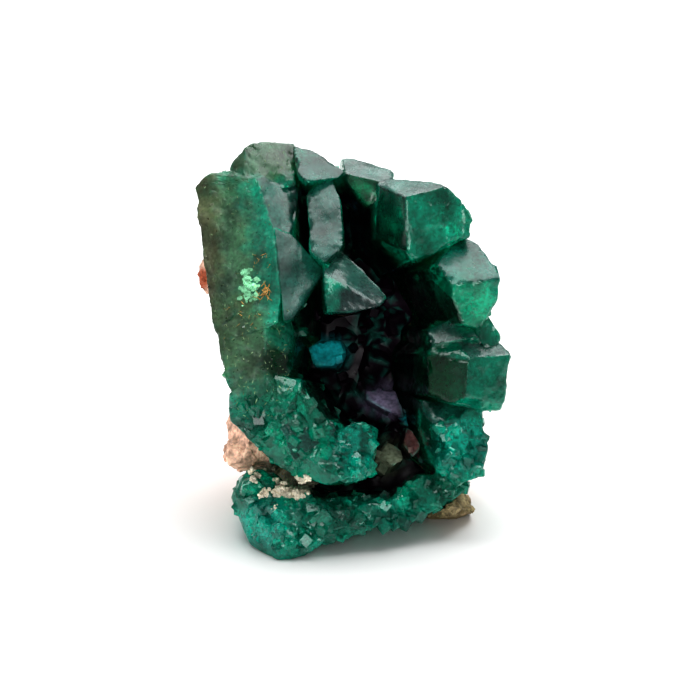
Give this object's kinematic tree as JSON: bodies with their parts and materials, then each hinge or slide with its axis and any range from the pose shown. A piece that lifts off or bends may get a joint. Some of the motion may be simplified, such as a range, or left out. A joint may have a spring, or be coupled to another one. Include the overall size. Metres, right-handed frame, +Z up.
{
  "type": "mineral specimen",
  "caption": "Dioptase specimen: emerald green crystals with flat faces grown round a deep dark hollow, on peach carbonate rock with a flat base.",
  "frame": {"origin": "middle of the bounding box, on the flat base", "axes": "+Z up from the base, -Y towards the viewer of the display face, +X to that viewer's right; the face leans back by 20 degrees"},
  "size_m": [0.0318, 0.0326, 0.0363],
  "materials": {
    "dioptase": "glassy natural crystal faces, see-through emerald green",
    "dark_dioptase": "glassy, nearly black with a violet tint",
    "carbonate_rock": "grainy broken rock, peach to cream, tan at the foot"
  },
  "bodies": {
    "root": {"dioptase_cluster": "dioptase", "hollow_crust": "dark_dioptase", "matrix": "carbonate_rock"}
  },
  "joints": []
}
